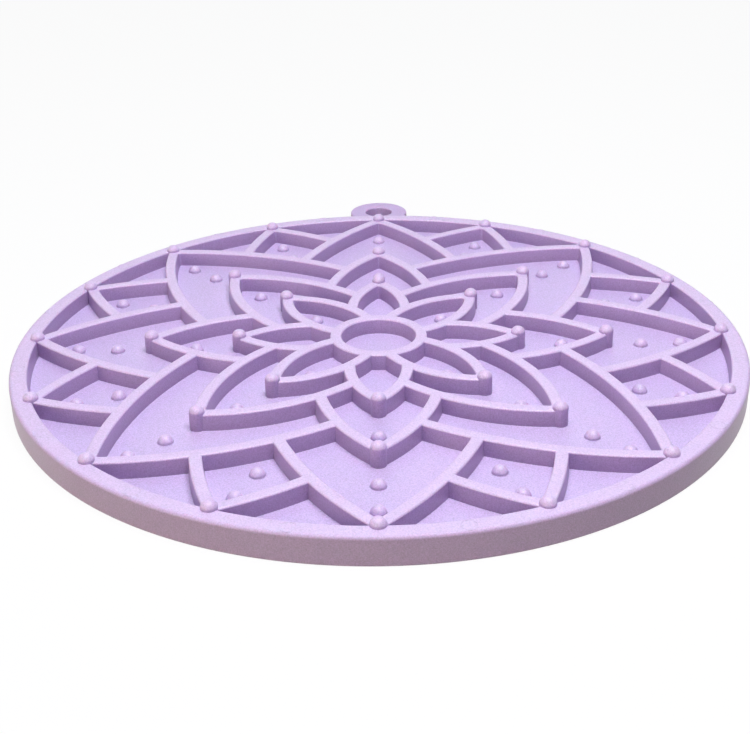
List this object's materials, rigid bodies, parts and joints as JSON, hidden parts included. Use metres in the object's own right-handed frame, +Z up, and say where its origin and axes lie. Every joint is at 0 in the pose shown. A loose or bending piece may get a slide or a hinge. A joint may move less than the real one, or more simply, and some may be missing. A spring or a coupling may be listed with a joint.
{
  "type": "lick mat",
  "caption": "Round soft rubber lick mat with raised petal walls that form food pockets, domed studs and nubs, a rim and a tab with a hole to hang it by.",
  "frame": {"origin": "centre of the round disc, on its flat underside", "axes": "+Z up out of the pockets, +Y from the disc's centre to the hanging tab"},
  "size_m": [0.2032, 0.2183, 0.0094],
  "materials": {
    "mat_rubber": "satin lilac soft moulding"
  },
  "bodies": {
    "root": {"base_disc": "mat_rubber", "rim_wall": "mat_rubber", "hang_tab": "mat_rubber", "centre_ring": "mat_rubber", "inner_petal_1": "mat_rubber", "inner_petal_2": "mat_rubber", "inner_petal_3": "mat_rubber", "inner_petal_4": "mat_rubber", "inner_petal_5": "mat_rubber", "inner_petal_6": "mat_rubber", "inner_petal_7": "mat_rubber", "inner_petal_8": "mat_rubber", "middle_petal_1": "mat_rubber", "middle_petal_2": "mat_rubber", "middle_petal_3": "mat_rubber", "middle_petal_4": "mat_rubber", "middle_petal_5": "mat_rubber", "middle_petal_6": "mat_rubber", "middle_petal_7": "mat_rubber", "middle_petal_8": "mat_rubber", "outer_petals_front": "mat_rubber", "outer_petals_back": "mat_rubber", "rim_petals": "mat_rubber", "inner_studs": "mat_rubber", "middle_studs": "mat_rubber", "rim_studs": "mat_rubber", "inner_nubs": "mat_rubber", "middle_nubs": "mat_rubber", "outer_nubs": "mat_rubber", "rim_nubs": "mat_rubber"}
  },
  "joints": []
}
